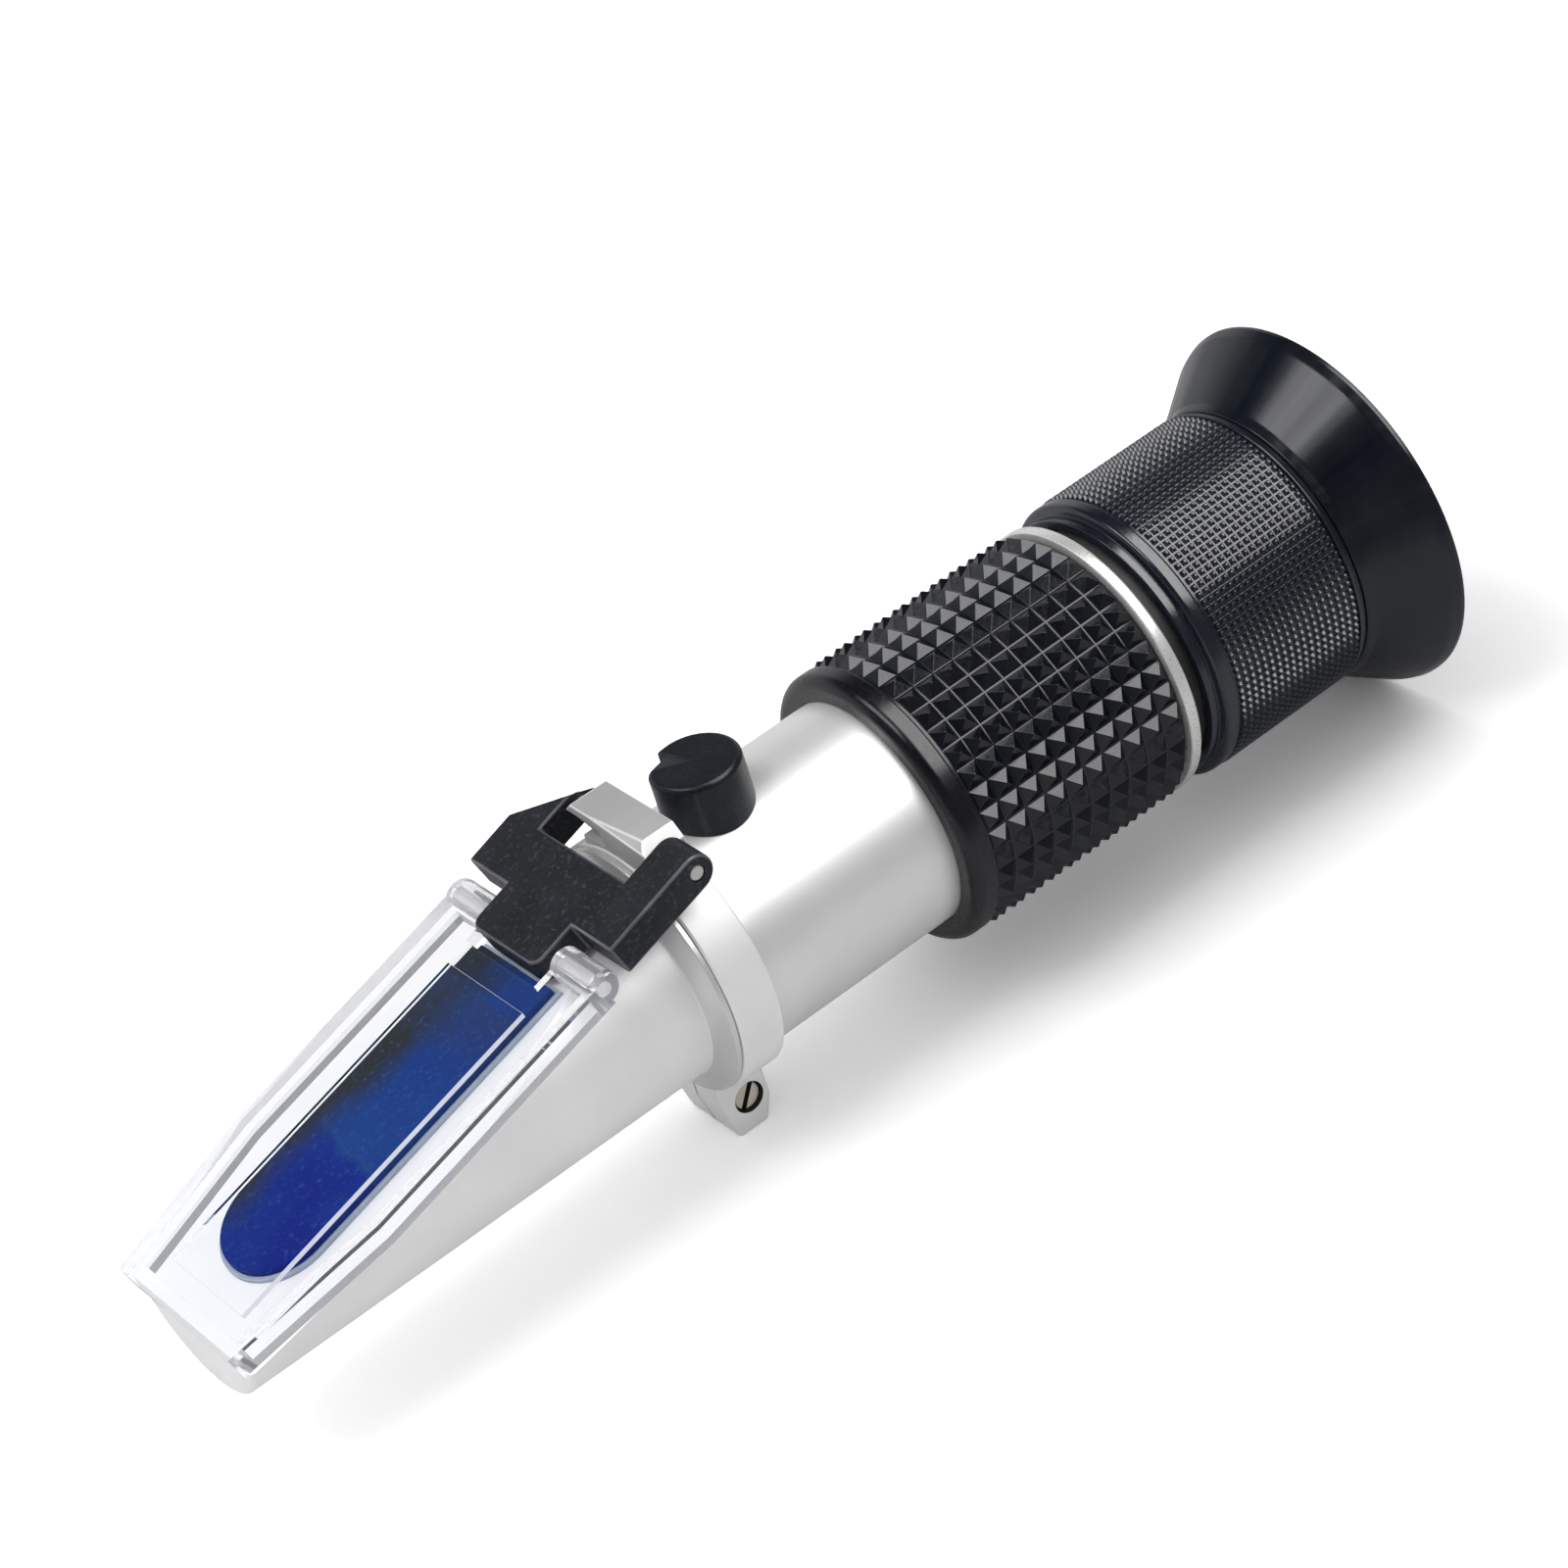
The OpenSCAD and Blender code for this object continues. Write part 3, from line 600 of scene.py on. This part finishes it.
def make_clamp_screw():
    head = rod("clamp_screw_head", LUG_SCREW, HEAD_TOP, HEAD_TOP + 1.25, 1.43, edge=0.15)
    slot_turn = Matrix.Rotation(math.radians(-57), 4, "Y")
    slot = block("slot", (-3, -1.5, -0.28), (3, 0.75, 0.28),
                 Matrix.Translation((LUG_SCREW.x, HEAD_TOP, LUG_SCREW.z)) @ slot_turn)
    # The slot's faces take the black material: painted shade in the slot
    cut(painted(head, SCREW), painted(slot, INNER_BLACK_AND_SHADE))
    soften(head, 0.06, 2, 40)
    join(head, rod("shank", LUG_SCREW, HEAD_TOP + 1, LUG_HW - 0.3, 1.0, edge=0.15))
    return place_piece(smooth(head, 32), "barrel_body", SCREW, "steel", "clamp_screw")


# ---------------------------------------------------------------- hinge

def make_hinge_block():
    front, rear = HINGE.x - 2.1, HINGE.x + 2.3
    crown_z, recess = 17, 0.9
    across = ON_AXIS @ Matrix(((0, 0, 1, 0), (1, 0, 0, 0), (0, 1, 0, 0), (0, 0, 0, 1)))
    crown = [(-5.3, crown_z), (5.3, crown_z), (6.6, 15.8), (6.6, 14.5), (3.6, 13.9),
             (-3.6, 13.9), (-6.6, 14.5), (-6.6, 15.8)]
    piece = extruded("hinge_block_body", crown, front, rear, across)
    # The near bevel leans 40 degrees and is turned by 6 degrees about the vertical
    corner = ON_AXIS @ Matrix.Translation((front - 0.2, 4.7, crown_z))
    bevel = corner @ Matrix.Rotation(math.radians(6), 4, "Z") @ Matrix.Rotation(math.radians(-40), 4, "Y")
    cut(piece, block("under_head", (front - 1, 1, 12), (front + recess, 8, 16), ON_AXIS),
        block("near_bevel", (-5, -16, 0), (0, 4, 5), bevel))
    # The rounded edges take the pale alloy, as painted highlight
    soften(piece, 0.14, 3, 20, (MACHINED, MACHINED_EDGE_HIGHLIGHT))
    foot = block("foot", (front + recess, -3.6, 11), (rear - 0.7, 3.6, 15), ON_AXIS)
    base = block("base", (front + 0.2, -5, 10.7), (rear - 0.2, 5, 13.6), ON_AXIS)
    soften(base, 0.2, 2, 40)
    join(piece, foot, base)
    cut(piece, rod("ring", (0, 0, AXIS_Z), -30, 0, COLLAR_R, LEVEL, segments=ROUND),
        rod("pin_hole", HINGE, -9, 9, 0.82))
    return place_piece(smooth(piece, 25), "barrel_body", MACHINED, "machined_alloy", "hinge_block")


def make_pins():
    low, high = ends("hinge_pin")
    pin = rod("hinge_pin_rod", HINGE, low.y, high.y, 0.8, edge=0.18, segments=48)
    place_piece(smooth(pin, 40), "barrel_body", STEEL, "steel", "hinge_pin")
    low, high = ends("plate_pin")
    pin = rod("plate_pin_rod", PLATE_PIN, low.y, high.y, 0.7, edge=0.15, segments=48)
    place_piece(smooth(pin, 40), "hinge_arm", STEEL, "steel", "plate_pin")


ARM_HW = 11.45
ARM_T = 3.6


def make_hinge_arm():
    """Black arm: a wide part round the hinge block, and a neck between the plate's ears."""
    half = ARM_T / 2
    window_u, wide_u, neck_u = 4.6, 10.6, 15.6
    ear_in, neck_hw = 6.8, 5.3
    # Side view: round at the pin and square at the front
    side = ON_ARM @ Matrix.Rotation(math.pi / 2, 4, "X")
    steps = 14
    round_end = [math.radians(-90 + 180 * k / steps) for k in range(steps + 1)]
    end_r = half + 0.1
    profile = [(end_r * math.cos(a) - 0.1, end_r * math.sin(a)) for a in round_end]
    profile += [(-neck_u, half), (-neck_u, -half)]
    piece = extruded("hinge_arm_moulding", profile, -ARM_HW, ARM_HW, side)
    side_y = ARM_HW + 1
    plan = extruded("plan", rounded([
        (3, -side_y, 0), (3, side_y, 0), (-wide_u, side_y, 0), (-wide_u, neck_hw, 0),
        (-neck_u, neck_hw, 1.2), (-neck_u, -neck_hw, 1.2), (-wide_u, -neck_hw, 0), (-wide_u, -side_y, 0),
    ], 0, 8), -6, 6, ON_ARM)
    combine(piece, [plan], "INTERSECT")
    cut(piece, block("window", (-window_u, -ear_in, -6), (8, ear_in, 6), ON_ARM))
    # The rounded edges take the paler plastic, as painted highlight
    soften(piece, 0.24, 3, 32, (ARM_BLACK, ARM_EDGE_HIGHLIGHT))
    # The far ear is cut off slantwise, after the rounding, so its cut edges stay crisp
    slant = Matrix.Translation((-0.5, ear_in + 0.1, half)) @ Matrix.Rotation(math.radians(45.5), 4, "Z")
    slant = ON_ARM @ slant @ Matrix.Rotation(math.radians(46), 4, "Y")
    cut(piece,
        block("far_ear_cut", (-10, -10, 0), (10, 10, 12), slant),
        rod("pin_bore", HINGE, -ARM_HW - 1, ARM_HW + 1, 0.85))
    return place_piece(smooth(piece, 30), "hinge_arm", ARM_BLACK, "black_plastic", "hinge_arm")


# ---------------------------------------------------------------- daylight plate

def make_daylight_plate():
    """Clear plate: a pane, a rim along three sides, a boss over the prism and two ears."""
    under, thick, rim_w, pane_t = 0.3, 2.8, 1.8, 1.4
    half, tip_hw = 12.0, 9.7
    tip_t, kink_t, pane_rear = 0.9, 18.2, 43.6
    boss_hw, boss_t0, boss_t1 = 6.1, 4.7, 41.2
    ear_r, ear_in = 1.75, 5.65
    pin = ON_SLOPE.inverted() @ PLATE_PIN
    piece = extruded("daylight_plate_moulding", [
        (tip_t, -tip_hw), (kink_t, -half), (pin.x, -half), (pin.x, half), (kink_t, half), (tip_t, tip_hw),
    ], under, under + thick, ON_SLOPE)
    join(piece, rod("ears", PLATE_PIN, -half, half, ear_r, edge=0.7, segments=72))
    hollow = extruded("hollow", [
        (tip_t + rim_w, -tip_hw + rim_w), (kink_t, -half + rim_w), (PRISM_T1 + 1, -half + rim_w),
        (PRISM_T1 + 1, half - rim_w), (kink_t, half - rim_w), (tip_t + rim_w, tip_hw - rim_w),
    ], under - 1, under + thick - pane_t, ON_SLOPE)
    cut(hollow, block("boss", (boss_t0, -boss_hw, PRISM_RISE + 0.05), (boss_t1, boss_hw, 6), ON_SLOPE))
    cut(piece, hollow,
        block("gap", (pane_rear, -ear_in, -4), (pane_rear + 12, ear_in, 10), ON_SLOPE),
        rod("pin_bore", PLATE_PIN, -half + 0.5, half - 0.5, 0.75))
    soften(piece, 0.2, 3, 30, (ACRYLIC, ACRYLIC_EDGE_HIGHLIGHT))
    piece.data.materials.append(ACRYLIC_RIM)
    to_slope = ON_SLOPE.inverted()
    for face in piece.data.polygons:
        at = to_slope @ (face.center / MM)
        # Painted highlight: the pale edge material stays on the rounded edges round the boss and at the gap,
        # as thin pale lines
        beside = abs(at.y + boss_hw) < 0.25 and at.x < boss_t1 + 0.3
        behind = abs(at.x - boss_t1) < 0.25 and abs(at.y) < boss_hw + 0.3
        at_gap = abs(at.x - pane_rear) < 0.25 and abs(at.y) < ear_in + 0.3
        highlight_line = at.z < 1.5 and (beside or behind) or at.z > 2.5 and at_gap
        # The walls of the rim and the ears are a little hazy
        taper = min(1.0, (at.x - tip_t) / (kink_t - tip_t))
        in_rim = abs(at.y) > tip_hw + (half - tip_hw) * taper - rim_w - 0.25 or at.x < tip_t + rim_w + 0.3
        hazy = at.z < under + 0.1 or in_rim and at.z < under + thick - 0.15 or at.x > pin.x - ear_r
        face.material_index = 1 if highlight_line else 2 if hazy else 0
    return place_piece(smooth(piece, 30), "daylight_plate", ACRYLIC, "clear_acrylic", "daylight_plate")


# ---------------------------------------------------------------- barrel and cap

CAP = middle("calibration_cap")


def make_barrel():
    front, rear = BARREL_LOW.x, BARREL_HIGH.x
    piece = lathe("barrel_tube", rounded([
        (front, BORE_R), (front, BARREL_R), (rear, BARREL_R), (rear, BORE_R),
    ], 0.12))
    cut(piece, rod("bush_hole", (CAP.x, 0, AXIS_Z), 5, 16, 2.5, ALONG_Z))
    return place_piece(smooth(piece), "barrel_body", SATIN, "satin_alloy", "barrel")


def make_cap():
    low, high = ends("calibration_cap")
    radius = (high.x - low.x) / 2
    top = high.z - AXIS_Z
    piece = lathe("calibration_cap_moulding", rounded([
        (8, 0, 0), (8, radius, 0), (top, radius, 0.6), (top, 0, 0),
    ], 0.5, 8), Matrix.Translation((CAP.x, 0, AXIS_Z)) @ ALONG_Z, 96)
    notch = block("notch", (radius - 1.5, 0, top - 1.5), (radius + 1.5, 5, top + 1.5),
                  Matrix.Translation((CAP.x, 0, AXIS_Z)) @ Matrix.Rotation(math.radians(105), 4, "Z"))
    cut(piece, rod("saddle", (0, 0, AXIS_Z), CAP.x - 8, CAP.x + 8, BARREL_R + 0.1, LEVEL, segments=ROUND),
        rod("bush_hole", (CAP.x, 0, AXIS_Z), 5, 15.6, 2.55, ALONG_Z), notch)
    soften(piece, 0.2, 3, 40)
    return place_piece(smooth(piece, 35), "calibration_cap", CAP_BLACK, "cap_rubber", "calibration_cap")


# ---------------------------------------------------------------- grip

def studded_band(name, x0, x1, rows, columns, base_r, top_r, groove, flat, inner_r):
    """Band of square pyramids with grooves between them, closed inside at inner_r.

    groove is the share of a cell that its groove takes, and flat the share of its blunt top.
    """
    pitch = (x1 - x0) / rows
    turn = 2 * math.pi / columns
    verts, faces, rings = [], [], {}

    def point(x, angle, r):
        verts.append((x, r * math.sin(angle), r * math.cos(angle)))
        return len(verts) - 1

    # Stations and angles of the cells' edges, two for each groove
    stations = [x0 + (i + side * groove / 2) * pitch for i in range(rows + 1) for side in (-1, 1)][1:-1]
    angles = [(j + side * groove / 2) * turn for j in range(columns) for side in (-1, 1)]
    for a, angle in enumerate(angles):
        for s, x in enumerate(stations):
            rings[a, s] = point(x, angle, base_r)
    count_a, count_s = len(angles), len(stations)
    for a in range(count_a):
        b = (a + 1) % count_a
        for s in range(count_s - 1):
            corners = (rings[a, s], rings[a, s + 1], rings[b, s + 1], rings[b, s])
            if a % 2 == 0 or s % 2 == 1:
                faces.append(corners)
                continue
            # One pyramid: four slopes and a small blunt top
            column, row = a // 2, s // 2
            mid_x, mid_angle = x0 + (row + 0.5) * pitch, (column + 0.5) * turn
            top = [point(mid_x + sx * flat * pitch / 2, mid_angle + sa * flat * turn / 2, top_r)
                   for sa, sx in ((-1, -1), (-1, 1), (1, 1), (1, -1))]
            faces.append(tuple(top))
            for k in range(4):
                faces.append((corners[k], corners[(k + 1) % 4], top[(k + 1) % 4], top[k]))
    # Ends and bore
    inner = {(a, e): point((stations[0], stations[-1])[e], angles[a], inner_r)
             for a in range(count_a) for e in (0, 1)}
    for a in range(count_a):
        b = (a + 1) % count_a
        faces.append((rings[a, 0], rings[b, 0], inner[b, 0], inner[a, 0]))
        faces.append((rings[a, count_s - 1], rings[b, count_s - 1], inner[b, 1], inner[a, 1]))
        faces.append((inner[a, 0], inner[b, 0], inner[b, 1], inner[a, 1]))
    return mesh_from(name, verts, faces, ON_AXIS)


def make_grip():
    low, high = ends("grip_sleeve")
    peak_r = outer_radius("grip_sleeve")
    lip_r, base_r = peak_r - 0.25, peak_r - 0.9
    groove_x = low.x + 3.0
    rows, columns, groove, flat = 10, 39, 0.07, 0.05
    studs = studded_band(
        "grip_pyramids", groove_x, high.x - 0.1, rows, columns, base_r, peak_r, groove, flat, BARREL_R + 0.4)
    soften(studs, 0.05, 2, 35)
    lip = lathe("grip_lip", rounded([
        (low.x, BARREL_R + 0.06, 0.1), (low.x, lip_r, 1.25), (groove_x - 0.45, lip_r, 0.25),
        (groove_x - 0.3, base_r, 0.05), (groove_x + 0.1, base_r, 0.0), (groove_x + 0.1, BARREL_R + 0.06, 0),
    ], 0.1, 8))
    for piece, material in ((studs, GRIP_BLACK), (lip, GRIP_LIP)):
        place_piece(smooth(piece, 40), "barrel_body", material, "grip_rubber", "grip_sleeve")


def make_trim_ring():
    low, high = ends("trim_ring")
    radius = outer_radius("trim_ring")
    piece = lathe("trim_ring_band", rounded([
        (low.x, BARREL_R + 0.05), (low.x, radius, 0.2), (high.x, radius, 0.3), (high.x, BARREL_R + 0.05),
    ], 0.1))
    return place_piece(smooth(piece), "barrel_body", TRIM, "trim_white", "trim_ring")


# ---------------------------------------------------------------- focus ring and eyecup

def make_focus_ring():
    low, high = ends("focus_ring")
    peak_r = outer_radius("focus_ring")
    base_r, flange_r = peak_r - 0.4, peak_r - 0.1
    neck_r, bore_r = 14.3, 13.25
    knurl_x0, knurl_x1 = low.x + 2.95, 61.0
    ring_end = 62.0
    # The lens tube's collar runs in a groove inside the ring, clear of its rear wall
    groove_rear, groove_r = 56.1, 12.2
    spigot_r, tube_hole_r = 12.4, 9.7
    rows, columns, groove, flat = 19, 112, 0.26, 0.35
    knurl = studded_band(
        "focus_knurl", knurl_x0, knurl_x1, rows, columns, base_r, peak_r, groove, flat, bore_r + 0.5)
    soften(knurl, 0.035, 2, 30)
    front = lathe("focus_flange", rounded([
        (low.x, bore_r, 0.1), (low.x, neck_r, 0.15), (low.x + 1.0, neck_r, 0.12),
        (low.x + 1.15, flange_r, 0.55), (low.x + 2.6, flange_r, 0.35), (low.x + 2.75, base_r, 0.05),
        (knurl_x0 + 0.2, base_r, 0), (knurl_x0 + 0.2, bore_r, 0),
    ], 0.1, 8))
    rear = lathe("focus_shoulder", rounded([
        (knurl_x1 - 0.2, bore_r, 0), (knurl_x1 - 0.2, base_r, 0), (knurl_x1, base_r, 0),
        (knurl_x1 + 0.05, peak_r, 0.2), (ring_end, peak_r - 0.3, 0.3), (ring_end, spigot_r, 0),
        (high.x, spigot_r, 0.2), (high.x, tube_hole_r, 0.2),
        (groove_rear, tube_hole_r, 0), (groove_rear, groove_r, 0),
    ], 0.1, 8))
    for piece in (knurl, front, rear):
        place_piece(smooth(piece, 38), "focus_ring", FOCUS_BLACK, "focus_plastic", "focus_ring")


def make_eyecup():
    low, high = ends("eyecup")
    rim_r = outer_radius("eyecup")
    seat_r = 12.45
    outline = [
        (low.x, seat_r, 0.1), (low.x, 15.2, 0.25), (low.x + 1.0, 15.55, 1.5),
        (high.x - 1.4, rim_r - 0.35, 2.0), (high.x - 0.5, rim_r, 0.3), (high.x, rim_r, 0.15),
        (high.x, rim_r - 0.85, 0.2), (high.x - 1.6, rim_r - 2.1, 1.5), (high.x - 3.9, 13.8, 0.8),
        (high.x - 4.4, 11.9, 0.2), (high.x - 4.45, seat_r, 0),
    ]
    piece = lathe("eyecup_moulding", rounded(outline, 0.3, 10))
    return place_piece(smooth(piece, 40), "focus_ring", EYECUP_BLACK, "eyecup_rubber", "eyecup")


# ---------------------------------------------------------------- set, light and camera

def make_stage():
    reach = 2600
    floor = extruded("floor", rectangle(-reach, -reach, reach, reach), -10, 0)
    shader = Shader("floor_paper", Roughness=0.9, Specular_IOR_Level=0.2)
    # Painted shade: in reflections the paper is greyer, and darker still in front of the instrument
    forward = shader.maths("MULTIPLY", shader.along((0, -1, 0)), 0.005)
    reflected_shade = shader.ramp(forward, [(0.3, 0.5), (0.75, 0.15)])
    path = shader.node("ShaderNodeLightPath")
    plain = (0.93, 0.93, 0.925)
    paper = shader.mix(path.outputs["Is Glossy Ray"], plain, reflected_shade)
    # A ray through the clear plate counts as glossy too, so its plain paper comes after the reflections
    paper = shader.mix(path.outputs["Is Transmission Ray"], paper, plain)
    # Seen directly the paper is a little overexposed, as the photograph's background is
    shader.use("Base Color", shader.mix(path.outputs["Is Camera Ray"], paper, (1.35, 1.35, 1.345)))
    floor.data.materials.append(shader.material)


def area_light(name, direction, distance, size, power, matt=True, glossy=True):
    """Softbox that faces the instrument from a direction, with its first side along X."""
    light = bpy.data.lights.new(name, "AREA")
    light.shape = "RECTANGLE"
    light.size, light.size_y = size[0] * MM, size[1] * MM
    light.energy = power
    obj = bpy.data.objects.new(name, light)
    away = Vector(direction).normalized()
    side = (Vector((1, 0, 0)) - away * away.x).normalized()
    turn = Matrix((side, away.cross(side), away)).transposed().to_4x4()
    obj.matrix_world = Matrix.Translation((Vector((0, 0, AXIS_Z)) + away * distance) * MM) @ turn
    obj.visible_diffuse = matt
    obj.visible_glossy = glossy
    obj.visible_transmission = glossy
    bpy.context.scene.collection.objects.link(obj)


def make_light():
    # Two overhead softboxes that show in the glossy parts, and a broad key light for the matt ones
    area_light("near_softbox", (0.376, -0.34, 0.86), 700, (430, 760), 5.8, matt=False)
    area_light("left_softbox", (-0.437, 0.116, 0.892), 700, (250, 470), 1.6)
    area_light("key_light", (-0.45, 0.42, 0.79), 900, (1500, 1500), 4.0, glossy=False)
    world = bpy.data.worlds.new("studio")
    world.use_nodes = True
    tree = world.node_tree

    def grey(value):
        made = tree.nodes.new("ShaderNodeBackground")
        made.inputs["Color"].default_value = (value, value, value * 1.02, 1)
        return made

    def blend(factor, first, second):
        mixer = tree.nodes.new("ShaderNodeMixShader")
        tree.links.new(factor, mixer.inputs[0])
        tree.links.new(first.outputs[0], mixer.inputs[1])
        tree.links.new(second.outputs[0], mixer.inputs[2])
        return mixer

    def ramp(source, stops):
        made = tree.nodes.new("ShaderNodeValToRGB")
        for element, (position, value) in zip(made.color_ramp.elements, stops):
            element.position, element.color = position, (value, value, value, 1)
        tree.links.new(source, made.inputs["Fac"])
        return made.outputs["Color"]

    # The room: even fill for matt surfaces. Reflections see it dark above and pale low, most at the far side
    split = tree.nodes.new("ShaderNodeSeparateXYZ")
    tree.links.new(tree.nodes.new("ShaderNodeTexCoord").outputs["Generated"], split.inputs[0])
    low = ramp(split.outputs["Z"], [(0.3, 0.6), (0.6, 0.03)])
    behind = ramp(split.outputs["Y"], [(0.0, 0.25), (0.5, 1.0)])
    product = tree.nodes.new("ShaderNodeMath")
    product.operation = "MULTIPLY"
    tree.links.new(low, product.inputs[0])
    tree.links.new(behind, product.inputs[1])
    room = grey(0.5)
    tree.links.new(product.outputs[0], room.inputs["Color"])
    path = tree.nodes.new("ShaderNodeLightPath")
    mirrored = blend(path.outputs["Is Glossy Ray"], grey(0.68), room)
    # Rays through clear plastic see it pale low down and dark above
    through = grey(0.8)
    tree.links.new(ramp(split.outputs["Z"], [(0.4, 0.9), (0.64, 0.12)]), through.inputs["Color"])
    whole = blend(path.outputs["Is Transmission Ray"], mirrored, through)
    tree.links.new(whole.outputs[0], tree.nodes["World Output"].inputs["Surface"])
    bpy.context.scene.world = world
    bpy.context.scene.view_settings.view_transform = "Standard"


def make_camera():
    """Camera on the photograph's viewing angle, rolled as the photograph is."""
    azimuth, elevation, roll = math.radians(27.3), math.radians(34.97), math.radians(17.94)
    aim = Vector((4.85, 2.22, 27.31))
    distance, focal = 450, 110.3
    flat = math.cos(elevation)
    view = Vector((math.sin(azimuth) * flat, math.cos(azimuth) * flat, -math.sin(elevation)))
    level = Vector((math.cos(azimuth), -math.sin(azimuth), 0))
    upright = level.cross(view)
    right = level * math.cos(roll) - upright * math.sin(roll)
    up = upright * math.cos(roll) + level * math.sin(roll)
    camera = bpy.data.cameras.new("camera")
    camera.sensor_width = 36
    camera.lens = focal
    camera.clip_start, camera.clip_end = 0.01, 20
    obj = bpy.data.objects.new("camera", camera)
    turn = Matrix((right, up, -view)).transposed().to_4x4()
    obj.matrix_world = Matrix.Translation((aim - view * distance) * MM) @ turn
    bpy.context.scene.collection.objects.link(obj)
    bpy.context.scene.camera = obj


make_camera()
make_light()
make_stage()
dress_cad_nodes()
make_prism_box()
make_prism()
make_collar()
make_clamp_screw()
make_hinge_block()
make_pins()
make_hinge_arm()
make_daylight_plate()
make_barrel()
make_cap()
make_grip()
make_trim_ring()
make_focus_ring()
make_eyecup()
